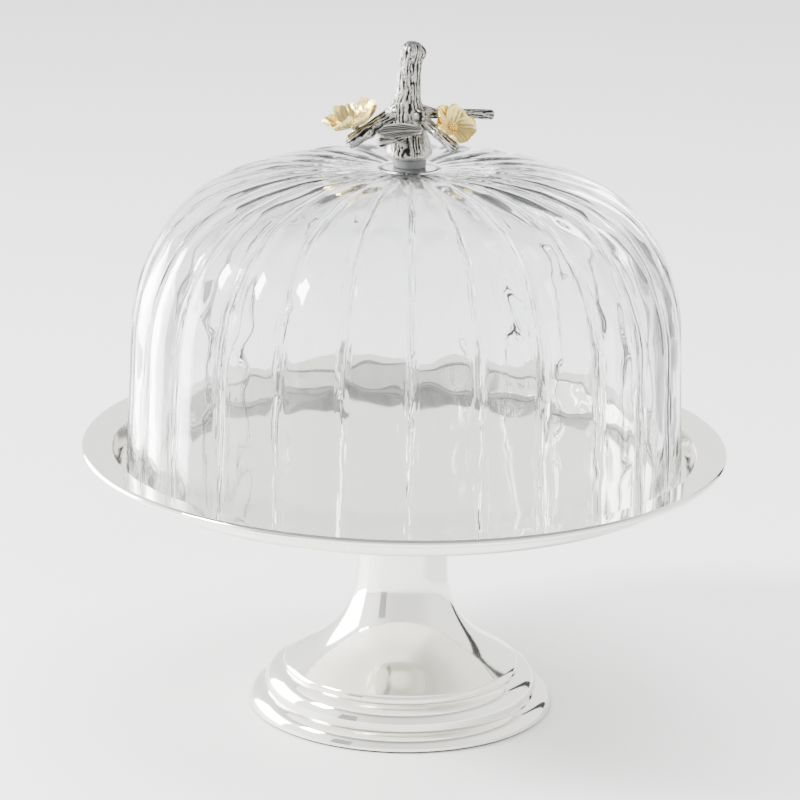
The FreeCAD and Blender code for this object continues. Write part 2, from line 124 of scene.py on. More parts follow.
class DomeSizes(bpy.types.PropertyGroup):
    glass_wall: length("Glass", "Thickness of the glass", 3.6)
    foot_round: length("Foot round", "Round of both edges that the glass stands on", 1.3)
    wall_taper: length("Taper", "What the straight wall leans in", 2.6)
    wall_rise: length("Wall", "Height of the straight wall", 68.8)
    shoulder_reach: length("Shoulder reach", "What the lower arc of the shoulder comes in", 13.6)
    shoulder_rise: length("Shoulder rise", "Height of that arc", 45.3)
    haunch_reach: length("Haunch reach", "What the upper arc of the shoulder comes in", 30.4)
    haunch_rise: length("Haunch rise", "Height of that arc", 25.4)
    button_radius: length("Button", "Radius of the flat button on the crown", 14.2)
    button_rise: length("Button rise", "Height of the button above the crown", 1.0)
    hole_radius: length("Hole", "Radius of the hole in the crown", 3.0)
    flutes: IntProperty(name="Flutes", description="Number of lobes around the dome", default=26, min=3)
    flute_depth: length("Flute depth", "Depth of the creases between the lobes", 2.4)
    first_crease: degrees("First crease", "Angle of one crease from the X axis", 271.0)
    inner_share: FloatProperty(
        name="Inner flutes", description="Depth of the flutes inside over their depth outside", default=0.75
    )
    wander: length("Wander", "How far a crease strays to its sides", 0.8)
    ripple: length("Ripple", "Waviness of the inner face of the glass", 0.32)


class FinialSizes(bpy.types.PropertyGroup):
    grain: length("Grain", "Spacing of the grooves in the bark", 2.1)
    groove: length("Groove", "Depth of the grooves in the bark", 0.6)
    voxel: length("Voxel", "Finest detail of the casting", 0.26)
    petal_gauge: length("Petal", "Thickness of the petals", 1.1)
    stamen_radius: length("Stamens", "Radius of the head of stamens", 2.6)
    leaf_length: length("Leaf length", "Tip to stalk", 21.0)
    leaf_width: length("Leaf width", "Widest part of the leaf", 8.2)
    leaf_gauge: length("Leaf", "Thickness of the leaf", 1.1)


class FastenerSizes(bpy.types.PropertyGroup):
    stud_radius: length("Stud", "Stud under the plate, M8", 4.0)
    stud_pitch: length("Stud pitch", "Pitch of the stud's thread", 1.25)
    stud_nut: length("Stud nut", "Width of the stud's nut across its flats", 13.0)
    screw_radius: length("Screw", "Screw of the finial, M4", 2.0)
    screw_pitch: length("Screw pitch", "Pitch of the screw's thread", 0.7)
    screw_nut: length("Screw nut", "Width of the screw's nut across its flats", 7.0)
    clearance: length("Clearance", "Gap between a screw and a plain hole", 0.3)
    flange_height: length("Flange", "Thickness of the stud's flange", 1.2)
    washer_split: length("Split", "Width of the gap in the split washer", 0.8)


class Finishes(bpy.types.PropertyGroup):
    silver: colour("Silver", "Polished silver plate", "EAE9E3")
    tarnish: colour("Tarnish", "Dark silver in the grooves of the finial", "262523")
    old_silver: colour("Old silver", "Worn silver on the ridges of the finial", "BEBCB8")
    gold: colour("Gold", "Pale gold wash of the flowers", "FCE596")
    # The darker gold in the folds and the middles of the flowers is painted shade.
    gold_painted_shade: colour("Gold shade", "Gold in the folds of the flowers", "C8A85C")
    glass: colour("Glass", "Tint of the clear glass", "FAFCFB")
    rubber: colour("Ring", "Translucent rings on both sides of the glass", "747676")
    felt: colour("Felt", "Felt under the foot", "2B2B2C")
    steel: colour("Steel", "Bright screws, nuts and washers", "C6C7C8")
    floor: colour("Floor", "Pale floor", "F0F0F0")


# Making meshes

CHORD_TURN = math.radians(4)
TURNED_STEPS = 240
ON_AXIS = 1e-7


class Outline:
    """The outline of a turned piece as radius and height, with its arcs cut into short chords."""

    def __init__(self, radius, height, chord_turn=CHORD_TURN):
        self.points = [Vector((radius, height))]
        self.heading = 0.0
        self.chord_turn = chord_turn

    def line(self, radius, height):
        run = Vector((radius, height)) - self.points[-1]
        self.heading = math.atan2(run.y, run.x)
        self.points.append(Vector((radius, height)))
        return self

    def lines(self, radius, height, parts):
        """A line in equal parts, for a surface that is shaped further."""
        start, end = self.points[-1].copy(), Vector((radius, height))
        for part in range(1, parts + 1):
            self.line(*start.lerp(end, part / parts))
        return self

    def arc(self, radius, height, bend=None):
        """An arc that carries on from the last step, or one that turns by a given radius."""
        here, there = self.points[-1].copy(), Vector((radius, height))
        chord = there - here
        aim = math.atan2(chord.y, chord.x)
        if bend is None:
            half = (aim - self.heading + math.pi) % (2 * math.pi) - math.pi
        else:
            half = math.asin(chord.length / 2 / bend)
        size = chord.length / 2 / math.sin(half)
        start = aim - half
        centre = here + Vector((-math.sin(start), math.cos(start))) * size
        parts = max(2, math.ceil(abs(2 * half) / self.chord_turn))
        for part in range(1, parts):
            angle = start + 2 * half * part / parts
            self.points.append(centre + Vector((math.sin(angle), -math.cos(angle))) * size)
        self.points.append(there)
        self.heading = start + 2 * half
        return self

    def walled(self, gauge):
        """A closed outline of even thickness, its second face to the left of the first."""
        face = self.points
        aims = [(b - a).normalized() for a, b in zip(face, face[1:])]
        back = []
        for number, point in enumerate(face):
            before, after = aims[max(number - 1, 0)], aims[min(number, len(aims) - 1)]
            mitre = (before + after).normalized()
            left = Vector((-mitre.y, mitre.x))
            back.append(point + left * gauge / max(mitre.dot(after), 0.3))
        return face + [Vector((max(p.x, 0.0), p.y)) for p in reversed(back)]


def turned(points, steps=TURNED_STEPS):
    """A bmesh turned about Z from a closed loop of points, each a radius and a height."""
    bm = bmesh.new()
    corners = [bm.verts.new((x, 0, z)) for x, z in points]
    for a, b in zip(corners, corners[1:] + corners[:1]):
        if a.co.x > ON_AXIS or b.co.x > ON_AXIS:
            bm.edges.new((a, b))
    bmesh.ops.spin(
        bm,
        geom=bm.verts[:] + bm.edges[:],
        axis=UP,
        cent=(0, 0, 0),
        angle=2 * math.pi,
        steps=steps,
        use_merge=True,
    )
    bmesh.ops.remove_doubles(bm, verts=bm.verts[:], dist=mm(0.001))
    bmesh.ops.dissolve_degenerate(bm, edges=bm.edges[:], dist=ON_AXIS)
    face_outwards(bm)
    return bm


def ring(node, inner, steps=96):
    """A flat ring of a node's own size around a hole."""
    outer, low, high = reach(node), foot(node), top(node)
    return turned([(inner, low), (outer, low), (outer, high), (inner, high)], steps)


def face_outwards(bm):
    bmesh.ops.recalc_face_normals(bm, faces=bm.faces[:])


def limited(share):
    """A share held between 0 and 1."""
    return min(max(share, 0.0), 1.0)


def soften(bm, width, sharper_than=math.radians(40)):
    """Rounds every sharp edge."""
    joined = (e for e in bm.edges if len(e.link_faces) == 2)
    bmesh.ops.bevel(
        bm,
        geom=[e for e in joined if e.calc_face_angle(0) > sharper_than],
        offset=width,
        offset_type="OFFSET",
        affect="EDGES",
        segments=3,
        profile=0.5,
        material=-1,
        clamp_overlap=True,
    )


def new_mesh(name, bm):
    mesh = bpy.data.meshes.new(name)
    bm.to_mesh(mesh)
    bm.free()
    return mesh


def new_object(name, data):
    made = bpy.data.objects.new(name, data)
    bpy.context.scene.collection.objects.link(made)
    return made


def finish_piece(name, bm, body, recipe, *replaced, sharp=math.radians(35)):
    """Turns a bmesh into a piece that rides on a body and stands for CAD nodes."""
    mesh = new_mesh(name, bm)
    mesh.shade_smooth()
    mesh.set_sharp_from_angle(angle=sharp)
    mesh.materials.append(shared(recipe))
    piece = new_object(name, mesh)
    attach(piece, body)
    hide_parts(*replaced)


# Materials


def add_node(material, kind, links=None, **settings):
    """Adds one node: settings by socket or property name, and links from sockets of other nodes."""
    node = material.node_tree.nodes.new(kind)
    for name, setting in settings.items():
        socket = node.inputs.get(name.replace("_", " "))
        if socket is not None and not hasattr(node, name):
            socket.default_value = setting
        else:
            setattr(node, name, setting)
    for name, source in (links or {}).items():
        material.node_tree.links.new(source, node.inputs[name])
    return node


def new_material(name):
    material = bpy.data.materials.new(name)
    material.use_nodes = True
    material.node_tree.nodes.clear()
    return material


def output(material, shader):
    add_node(material, "ShaderNodeOutputMaterial", {"Surface": shader.outputs[0]})
    return material


def finished(material, links=None, **settings):
    """Ends a material in one Principled shader."""
    return output(material, add_node(material, "ShaderNodeBsdfPrincipled", links, **settings))


def lumpy(material, spacing, detail, strength, depth):
    """The normal of a surface with lumps of one spacing and depth."""
    place = add_node(material, "ShaderNodeTexCoord").outputs["Object"]
    lumps = add_node(material, "ShaderNodeTexNoise", {"Vector": place}, Scale=1 / spacing, Detail=detail)
    height = {"Height": lumps.outputs["Fac"]}
    return add_node(material, "ShaderNodeBump", height, Strength=strength, Distance=depth).outputs["Normal"]


def cloudy(material, spacing, detail, smooth, rough):
    """A roughness that drifts between two values, in clouds of one spacing."""
    place = add_node(material, "ShaderNodeTexCoord").outputs["Object"]
    cloud = add_node(material, "ShaderNodeTexNoise", {"Vector": place}, Scale=1 / spacing, Detail=detail)
    spread = {"From_Min": 0.3, "From_Max": 0.7, "To_Min": smooth, "To_Max": rough}
    drift = {"Value": cloud.outputs["Fac"]}
    return add_node(material, "ShaderNodeMapRange", drift, **spread).outputs["Result"]


def polished_silver(finishes):
    """Silver plate over spun metal, buffed to a mirror: a warm white metal with faint buffing haze."""
    material = new_material("polished_silver_plate")
    haze = cloudy(material, mm(18), 3.0, 0.05, 0.11)
    swell = lumpy(material, mm(30), 1.0, 0.12, mm(0.15))
    links = {"Roughness": haze, "Normal": swell}
    return finished(material, links, Base_Color=(*finishes.silver, 1), Metallic=1.0)


def clear_glass(finishes):
    """Mould-blown soda-lime glass: clear, bright and fire polished. Lamps shine through it.

    Where the mould pinched the glass, chill lines run up both sides of each crease. They are
    drawn about 1.7 mm apart, coarser than real ones, so that they show.
    """
    material = new_material("clear_soda_lime_glass")
    blown = add_node(material, "ShaderNodeAttribute", attribute_name="blown").outputs["Vector"]
    crease = add_node(material, "ShaderNodeAttribute", attribute_name="crease").outputs["Fac"]
    upwards = add_node(material, "ShaderNodeMapping", {"Vector": blown})
    upwards.inputs["Scale"].default_value = (0, 1, 1)
    rise = {"Vector": upwards.outputs[0]}
    jag = add_node(material, "ShaderNodeTexNoise", rise, Scale=2.0, Detail=2.0, Roughness=0.55)
    links = {0: jag.outputs["Color"], 2: blown}
    strayed = add_node(material, "ShaderNodeVectorMath", links, operation="MULTIPLY_ADD")
    strayed.inputs[1].default_value = (1.8, 0, 0)
    lines = add_node(material, "ShaderNodeTexNoise", {"Vector": strayed.outputs[0]}, Scale=1.0, Detail=0.6)
    middle = add_node(material, "ShaderNodeMath", {0: lines.outputs["Fac"]}, operation="SUBTRACT")
    middle.inputs[1].default_value = 0.5
    links = {0: middle.outputs[0], 1: crease}
    height = add_node(material, "ShaderNodeMath", links, operation="MULTIPLY").outputs[0]
    bump = add_node(material, "ShaderNodeBump", {"Height": height}, Strength=1.0, Distance=mm(2.1))
    glass = add_node(
        material,
        "ShaderNodeBsdfPrincipled",
        {"Normal": bump.outputs["Normal"]},
        Base_Color=(*finishes.glass, 1),
        Roughness=0.0,
        IOR=1.5,
        Transmission_Weight=1.0,
    )
    clear = add_node(material, "ShaderNodeBsdfTransparent", Color=(0.95, 0.95, 0.95, 1))
    path = add_node(material, "ShaderNodeLightPath")
    mix = add_node(material, "ShaderNodeMixShader", {0: path.outputs["Is Shadow Ray"]})
    material.node_tree.links.new(glass.outputs[0], mix.inputs[1])
    material.node_tree.links.new(clear.outputs[0], mix.inputs[2])
    return output(material, mix)


def wear_and_shade_tone(material, low, high):
    """Each point's wear, on the gilt flowers its painted shade instead, and a colour that runs from low to
    high with it.
    """
    wear_and_painted_shade = add_node(material, "ShaderNodeAttribute", attribute_name="wear_and_painted_shade").outputs["Fac"]
    ramp = add_node(material, "ShaderNodeValToRGB", {"Fac": wear_and_painted_shade})
    ramp.color_ramp.elements[0].position, ramp.color_ramp.elements[1].position = 0.15, 0.75
    ramp.color_ramp.elements[0].color, ramp.color_ramp.elements[1].color = (*low, 1), (*high, 1)
    return wear_and_painted_shade, ramp.outputs["Color"]


def antique_silver(finishes):
    """Cast and silvered metal, darkened and rubbed back: black in the grooves, bright on the ridges."""
    material = new_material("antiqued_cast_silver")
    wear_and_painted_shade, tone = wear_and_shade_tone(material, finishes.tarnish, finishes.old_silver)
    spread = {"From_Min": 0.1, "From_Max": 0.9, "To_Min": 0.6, "To_Max": 0.24}
    rough = add_node(material, "ShaderNodeMapRange", {"Value": wear_and_painted_shade}, **spread).outputs["Result"]
    pits = lumpy(material, mm(0.5), 2.0, 0.25, mm(0.08))
    return finished(material, {"Base Color": tone, "Roughness": rough, "Normal": pits}, Metallic=1.0)


def gold_wash(finishes):
    """Pale gold over cast metal, bright on a lumpy casting, with darker gold painted as shade in the folds.
    """
    material = new_material("pale_gold_wash")
    tone = wear_and_shade_tone(material, finishes.gold_painted_shade, finishes.gold)[1]
    lumps = lumpy(material, mm(1.7), 3.0, 0.8, mm(0.5))
    return finished(material, {"Base Color": tone, "Normal": lumps}, Metallic=1.0, Roughness=0.25)


def turned_steel(finishes):
    """Bright zinc on turned steel, with lathe rings drawn coarser than real ones, so that they show."""
    material = new_material("zinc_plated_steel")
    place = add_node(material, "ShaderNodeTexCoord").outputs["Object"]
    rings = add_node(
        material,
        "ShaderNodeTexWave",
        {"Vector": place},
        wave_type="RINGS",
        rings_direction="Z",
        Scale=1 / mm(8),
        Distortion=0.6,
    )
    height = {"Height": rings.outputs["Fac"]}
    bump = add_node(material, "ShaderNodeBump", height, Strength=0.2, Distance=mm(0.05))
    links = {"Normal": bump.outputs["Normal"]}
    return finished(material, links, Base_Color=(*finishes.steel, 1), Metallic=1.0, Roughness=0.28)


def pressed_felt(finishes):
    """Wool felt, needled and pressed: matt, with a nap drawn coarser than its fibres, so that it shows."""
    material = new_material("pressed_wool_felt")
    nap = lumpy(material, mm(0.8), 4.0, 0.6, mm(0.3))
    felt = (*finishes.felt, 1)
    return finished(material, {"Normal": nap}, Base_Color=felt, Roughness=0.95, Sheen_Weight=0.4)


def silicone(finishes):
    """Moulded silicone rubber: a milky grey that lets a little light through."""
    material = new_material("translucent_silicone")
    cloud = cloudy(material, mm(3), 2.0, 0.35, 0.5)
    rubber = (*finishes.rubber, 1)
    return finished(material, {"Roughness": cloud}, Base_Color=rubber, IOR=1.41, Transmission_Weight=0.6)


def plain(name, base, roughness):
    """A material of one even colour."""
    return finished(new_material(name), Base_Color=(*base, 1), Roughness=roughness)


MADE = {}


def shared(recipe):
    """The material of a recipe, made once."""
    if recipe not in MADE:
        MADE[recipe] = recipe(bpy.context.scene.finishes)
    return MADE[recipe]


# Pieces


class CAKESTAND_OT_plate(bpy.types.Operator):
    """The spun plate: a flat well, a sloping rim and a rolled edge"""

    bl_idname = "cakestand.plate"
    bl_label = "Plate"

    def execute(self, context):
        sizes = context.scene.stand_sizes
        gauge, curl = sizes.sheet_gauge, sizes.curl_radius
        floor, rim, edge = foot("plate") + gauge, top("plate"), reach("plate")
        lean, rise = sizes.wall_lean, sizes.rim_lean
        fillet = Vector((sizes.well_edge + sizes.well_fillet * math.sin(lean), floor))
        fillet.y += sizes.well_fillet * (1 - math.cos(lean))
        rim_end = Vector((edge - curl - curl * math.sin(rise), rim - curl * (1 - math.cos(rise))))
        drop = sizes.shoulder_round * (math.cos(rise) - math.cos(lean))
        inset = sizes.shoulder_round * (math.sin(lean) - math.sin(rise))
        run = rim_end.y - drop - fillet.y - (rim_end.x - inset - fillet.x) * math.tan(rise)
        wall_x = fillet.x + run / (math.tan(lean) - math.tan(rise))
        wall_y = fillet.y + (wall_x - fillet.x) * math.tan(lean)
        outline = Outline(0, floor).line(sizes.well_edge, floor).arc(*fillet).line(wall_x, wall_y)
        outline.arc(wall_x + inset, wall_y + drop).line(*rim_end)
        outline.arc(edge, rim - curl).arc(edge - curl, rim - 2 * curl)
        outline.arc(edge - 1.6 * curl, rim - 1.8 * curl)
        bm = turned(outline.walled(-gauge))
        soften(bm, mm(0.2), sharper_than=math.radians(60))
        finish_piece("silver_plate", bm, "stand", polished_silver, "plate")
        return {"FINISHED"}


class CAKESTAND_OT_pedestal(bpy.types.Operator):
    """The spun pedestal: three rolls, a cone, a waisted stem and a neck"""

    bl_idname = "cakestand.pedestal"
    bl_label = "Pedestal"

    def execute(self, context):
        sizes = context.scene.stand_sizes
        low, high, edge = foot("pedestal"), top("pedestal"), reach("pedestal")
        second = edge - sizes.first_round
        third = second - sizes.second_round
        first_top = low + sizes.first_round
        second_top = first_top + sizes.second_rise + sizes.second_round
        lean = sizes.cone_lean
        cone_foot = Vector((third, second_top + sizes.third_rise))
        cone_foot += Vector((math.sin(lean) - 1, math.cos(lean))) * sizes.third_round
        cone_top_x = sizes.stem_radius + sizes.sweep_radius * (1 - math.sin(lean))
        cone_top_y = cone_foot.y + (cone_foot.x - cone_top_x) * math.tan(lean)
        stem_foot = cone_top_y + sizes.sweep_radius * math.cos(lean)
        outline = Outline(edge - sizes.foot_lip, low).line(edge, low)
        outline.arc(second, first_top, sizes.first_round).line(second, first_top + sizes.second_rise)
        outline.arc(third, second_top, sizes.second_round).line(third, second_top + sizes.third_rise)
        outline.arc(*cone_foot).lines(cone_top_x, cone_top_y, 3).arc(sizes.stem_radius, stem_foot)
        outline.lines(sizes.stem_radius, stem_foot + sizes.stem_length, 3)
        outline.arc(sizes.neck_radius, high).line(sizes.neck_hole, high)
        bm = turned(outline.walled(sizes.sheet_gauge))
        soften(bm, mm(0.3), sharper_than=math.radians(50))
        finish_piece("silver_pedestal", bm, "stand", polished_silver, "pedestal")
        return {"FINISHED"}


class CAKESTAND_OT_dome(bpy.types.Operator):
    """The fluted glass dome with a drilled button at its crown"""

    bl_idname = "cakestand.dome"
    bl_label = "Glass dome"

    STEPS_PER_FLUTE = 16
    OUTER_SOFT, INNER_SOFT = 0.05, 0.30
    # The flutes run out on the crown between these radii.
    FADE_START, FADE_END = mm(14), mm(44)
    # Draws the columns of the mesh towards the creases.
    CROWD = 1.35
    # The chill lines: how far they reach from a crease as a share of half a lobe, their number in
    # half a lobe, the millimetres that one runs up, and what sets each lobe's lines apart.
    CHILL_REACH, CHILL_LINES, CHILL_LENGTH, CHILL_STEP = 0.15, 9.5, 40, 3.7

    def execute(self, context):
        sizes = context.scene.dome_sizes
        low, edge = foot("glass_dome"), reach("glass_dome")
        button_top = foot("outer_gasket")
        straight = Vector((edge - sizes.wall_taper, low + sizes.wall_rise))
        shoulder = straight + Vector((-sizes.shoulder_reach, sizes.shoulder_rise))
        haunch = shoulder + Vector((-sizes.haunch_reach, sizes.haunch_rise))
        outline = Outline(edge, low, math.radians(2)).lines(*straight, 40).arc(*shoulder).arc(*haunch)
        outline.arc(sizes.button_radius + sizes.button_rise, button_top - sizes.button_rise)
        outline.line(sizes.button_radius, button_top).line(sizes.hole_radius, button_top)
        loop = self.round_foot(outline.walled(sizes.glass_wall), sizes.foot_round)
        bm = turned(loop, steps=sizes.flutes * self.STEPS_PER_FLUTE)
        self.flute(bm, sizes)
        face_outwards(bm)
        finish_piece("fluted_glass_dome", bm, "dome", clear_glass, "glass_dome")
        return {"FINISHED"}

    def round_foot(self, loop, radius):
        """Rounds the first and the last corner of the loop, on which the glass stands."""
        quarter = [math.radians(angle) for angle in range(0, 91, 18)]
        outer = loop[0] + Vector((-radius, radius))
        inner = loop[-1] + Vector((radius, radius))
        rise = [outer + Vector((math.sin(a), -math.cos(a))) * radius for a in quarter]
        fall = [inner - Vector((math.cos(a), math.sin(a))) * radius for a in quarter]
        return rise + loop[1:-1] + fall

    def flute(self, bm, sizes):
        """Presses wandering creases into both faces of the glass, sharper outside, and ripples the inside."""
        ground = foot("glass_dome")
        middle = Vector((0, 0, ground + sizes.wall_rise))
        steps, pitch = self.STEPS_PER_FLUTE, 2 * math.pi / sizes.flutes
        mid_wall = reach("glass_dome") - sizes.glass_wall / 2
        bm.normal_update()
        blown = bm.verts.layers.float_vector.new("blown")
        crease = bm.verts.layers.float.new("crease")
        moves = []
        for vertex in bm.verts:
            place = vertex.co.copy()
            reach_out = place.xy.length
            fade = limited((reach_out - self.FADE_START) / (self.FADE_END - self.FADE_START))
            fade = fade * fade * (3 - 2 * fade)
            angle = math.atan2(place.y, place.x)
            column = round((angle % (2 * math.pi)) / pitch * steps) + steps // 2
            lobe, share = divmod(column, steps)
            lobe, share = lobe % sizes.flutes, 2 * share / steps - 1
            share = math.copysign(abs(share) ** self.CROWD, share)
            height = (place.z - ground) / mm(1) - reach_out / mm(1)
            vertex[blown] = (share * self.CHILL_LINES, height / self.CHILL_LENGTH, lobe * self.CHILL_STEP)
            vertex[crease] = fade * math.exp(-((share / self.CHILL_REACH) ** 2))
            stray = noise.noise(Vector((lobe * 7.3, height / 13, 0.5)))
            stray += 0.5 * noise.noise(Vector((lobe * 3.7, height / 5, 9.5)))
            stray *= sizes.wander * fade * (1 - abs(share)) ** 2 / reach_out
            turn = Matrix.Rotation(sizes.first_crease + (lobe + share / 2) * pitch + stray - angle, 3, "Z")
            normal = turn @ vertex.normal
            outside = vertex.normal.dot(place - middle) > 0
            inwards = -normal if outside else normal
            if place.z - ground < sizes.foot_round + mm(0.01):
                outside = reach_out > mid_wall
                inwards = -(turn @ Vector((place.x, place.y, 0))).normalized()
            depth = self.crease(share, self.OUTER_SOFT if outside else self.INNER_SOFT)
            depth *= sizes.flute_depth * fade
            if not outside:
                wave = noise.noise(Vector((angle * 14, height / 18, 3.1)))
                wave += 0.3 * noise.noise(Vector((angle * 45, height / 9, 7.7)))
                near = 0.7 + 0.8 * math.exp(-((share / 0.25) ** 2))
                depth = sizes.inner_share * depth + sizes.ripple * wave * fade * near
            moves.append((vertex, turn @ place + inwards * depth))
        for vertex, place in moves:
            vertex.co = place

    def crease(self, share, soft):
        """One in the crease, falling to nothing at the middles of the lobes beside it."""
        lobe = math.hypot(math.sin(share * math.pi / 2), soft) - soft
        return 1 - lobe / (math.hypot(1, soft) - soft)


HEX_CORNER = math.radians(60)
NUT_CHAMFER, NUT_ROUND_END = 0.09, 0.96
THREAD_DEPTH, THREAD_STEPS = 0.55, 24


def hex_nut(node, bore, width):
    """A hexagon nut with both ends chamfered."""
    low, high = foot(node), top(node)
    flat, chamfer = width / 2, (high - low) * NUT_CHAMFER
    round_end = flat * NUT_ROUND_END
    outline = [(bore + chamfer, low), (round_end, low), (flat, low + chamfer)]
    outline += [(flat, high - chamfer), (round_end, high), (bore + chamfer, high)]
    outline += [(bore, high - chamfer), (bore, low + chamfer)]
    bm = turned(outline, steps=72)
    for vertex in bm.verts:
        if vertex.co.xy.length > flat * 0.99:
            angle = math.atan2(vertex.co.y, vertex.co.x) + HEX_CORNER / 2
            stretch = 1 / math.cos((angle + HEX_CORNER / 2) % HEX_CORNER - HEX_CORNER / 2)
            vertex.co.x, vertex.co.y = vertex.co.x * stretch, vertex.co.y * stretch
    return bm


def thread(bm, radius, pitch, low, high):
    """Winds the ridge of a thread around a shank whose own radius is the thread's root."""
    depth, turns = THREAD_DEPTH * pitch, int((high - low) / pitch) - 1
    heel = radius - 1.5 * depth
    corners = ((heel, 0), (radius, 0.38 * pitch), (radius, 0.5 * pitch), (heel, 0.88 * pitch))
    start = [bm.verts.new((x, 0, low + z)) for x, z in corners]
    face = bm.faces.new(start)
    bmesh.ops.spin(
        bm,
        geom=[face, *face.edges, *start],
        axis=UP,
        cent=(0, 0, 0),
        dvec=UP * pitch / THREAD_STEPS,
        angle=2 * math.pi * turns,
        steps=THREAD_STEPS * turns,
    )
    bmesh.ops.remove_doubles(bm, verts=bm.verts[:], dist=ON_AXIS)
    face_outwards(bm)


class CAKESTAND_OT_stand_fastening(bpy.types.Operator):
    """The felt under the foot, and the stud, disc, split washer and nut inside the stem"""

    bl_idname = "cakestand.stand_fastening"
    bl_label = "Stand fastening"

    def execute(self, context):
        sizes = context.scene.fastener_sizes
        self.felt(context.scene.stand_sizes)
        hole = sizes.stud_radius + sizes.clearance
        for node in ("clamp_disc", "spring_washer"):
            bm = ring(node, hole)
            if node == "spring_washer":
                self.split(bm, sizes.washer_split)
            soften(bm, mm(0.25))
            finish_piece(f"steel_{node}", bm, "stand", turned_steel, node)
        bm = hex_nut("stand_nut", sizes.stud_radius, sizes.stud_nut)
        finish_piece("steel_stand_nut", bm, "stand", turned_steel, "stand_nut")
        self.stud(sizes)
        return {"FINISHED"}

    def felt(self, sizes):
        edge = reach("foot_pad")
        inner = edge - sizes.foot_lip + 2 * (reach("pedestal") - edge)
        bm = ring("foot_pad", inner, steps=120)
        soften(bm, mm(0.3))
        finish_piece("felt_foot_ring", bm, "stand", pressed_felt, "foot_pad")

    def split(self, bm, gap):
        """Opens the ring at its right side."""
        middles = [(face, face.calc_center_median()) for face in bm.faces]
        away = [face for face, middle in middles if middle.x > 0 and abs(middle.y) < gap / 2]
        bmesh.ops.delete(bm, geom=away, context="FACES")
        bmesh.ops.holes_fill(bm, edges=[e for e in bm.edges if e.is_boundary])
        face_outwards(bm)

    def stud(self, sizes):
        low, high, edge = foot("plate_stud"), top("plate_stud"), reach("plate_stud")
        shoulder, root = high - sizes.flange_height, sizes.stud_radius - THREAD_DEPTH * sizes.stud_pitch
        outline = [(0, low), (root - mm(0.5), low), (root, low + mm(0.5)), (root, shoulder)]
        bm = turned([*outline, (edge, shoulder), (edge, high), (0, high)], steps=72)
        thread(bm, sizes.stud_radius, sizes.stud_pitch, low + mm(0.6), shoulder)
        finish_piece("steel_plate_stud", bm, "stand", turned_steel, "plate_stud")


class CAKESTAND_OT_finial_fastening(bpy.types.Operator):
    """The rings on both sides of the glass, and the washer, nut and screw that hold the finial"""

    bl_idname = "cakestand.finial_fastening"
    bl_label = "Finial fastening"

    def execute(self, context):
        sizes = context.scene.fastener_sizes
        hole = sizes.screw_radius + sizes.clearance
        for node, name, recipe in (
            ("outer_gasket", "silicone_outer_ring", silicone),
            ("inner_gasket", "silicone_inner_ring", silicone),
            ("inner_washer", "steel_inner_washer", turned_steel),
        ):
            bm = ring(node, hole)
            soften(bm, (top(node) - foot(node)) * 0.15)
            finish_piece(name, bm, "dome", recipe, node)
        bm = hex_nut("dome_nut", sizes.screw_radius, sizes.screw_nut)
        finish_piece("steel_dome_nut", bm, "dome", turned_steel, "dome_nut")
        low, high = foot("finial_screw"), top("finial_screw")
        root = sizes.screw_radius - THREAD_DEPTH * sizes.screw_pitch
        outline = [(0, low), (root - mm(0.3), low), (root, low + mm(0.3)), (root, high), (0, high)]
        bm = turned(outline, steps=48)
        thread(bm, sizes.screw_radius, sizes.screw_pitch, low + mm(0.4), high - mm(0.4))
        finish_piece("steel_finial_screw", bm, "dome", turned_steel, "finial_screw")
        return {"FINISHED"}


# Finial


def finial_place(point):
    """A point given in millimetres from the finial's underside, in the frame."""
    return Vector(point) * mm(1) + UP * foot("twig_finial")


def facing(point, faces, points):
    """Puts a piece's own Z along one direction and its X near another."""
    z = Vector(faces).normalized()
    x = Vector(points)
    x = (x - z * x.dot(z)).normalized()
    turn = Matrix((x, z.cross(x), z)).transposed().to_4x4()
    return Matrix.Translation(finial_place(point)) @ turn


# Limbs of the casting, foot to tip: points in millimetres from the finial's underside, and radii.
LIMBS = {
    "trunk": [
        ((-0.6, 0.0, 11.0), 7.9),
        ((-1.0, 0.0, 19.5), 8.1),
        ((-1.6, 0.0, 25.0), 7.1),
        ((-1.5, 0.0, 30.0), 6.3),
        ((-1.0, 0.0, 40.0), 5.6),
        ((0.7, 0.0, 55.4), 5.5),
    ],
    "left_branch": [
        ((-3.4, 0.0, 25.2), 5.2),
        ((-9.5, -0.9, 20.0), 4.1),
        ((-18.0, -2.3, 14.3), 3.6),
        ((-29.8, -4.0, 6.7), 3.6),
    ],
    "right_front_branch": [((3.5, -1.2, 20.4), 3.4), ((13.0, -7.5, 13.4), 2.5), ((22.1, -12.3, 6.4), 2.9)],
    "right_back_branch": [
        ((2.0, 1.5, 22.5), 4.0),
        ((12.0, 3.2, 20.6), 2.5),
        ((25.0, 5.5, 20.6), 2.2),
        ((39.6, 8.0, 19.7), 2.6),
    ],
    "front_twig": [((3.5, -7.0, 14.3), 2.4), ((-5.0, -10.8, 11.5), 1.8), ((-15.4, -13.4, 9.3), 2.3)],
    "left_stalk": [((-24.9, -2.2, 10.9), 2.1), ((-26.2, -2.6, 14.9), 2.0)],
    "right_stalk": [((16.9, -7.5, 13.0), 2.1), ((19.0, -9.2, 16.2), 2.0)],
}
# Swellings of the wood: the middle in the same measure, and the radius.
KNOTS = [
    ((2.9, 0.0, 50.3), 4.2),
    ((4.4, -4.4, 20.8), 4.0),
    ((-19.5, -3.2, 13.0), 3.8),
    ((12.6, -7.6, 13.8), 2.9),
    ((0.6, -8.2, 13.6), 2.9),
]
BOSS_MIDDLE, BOSS_TOP = -0.4, 13.5


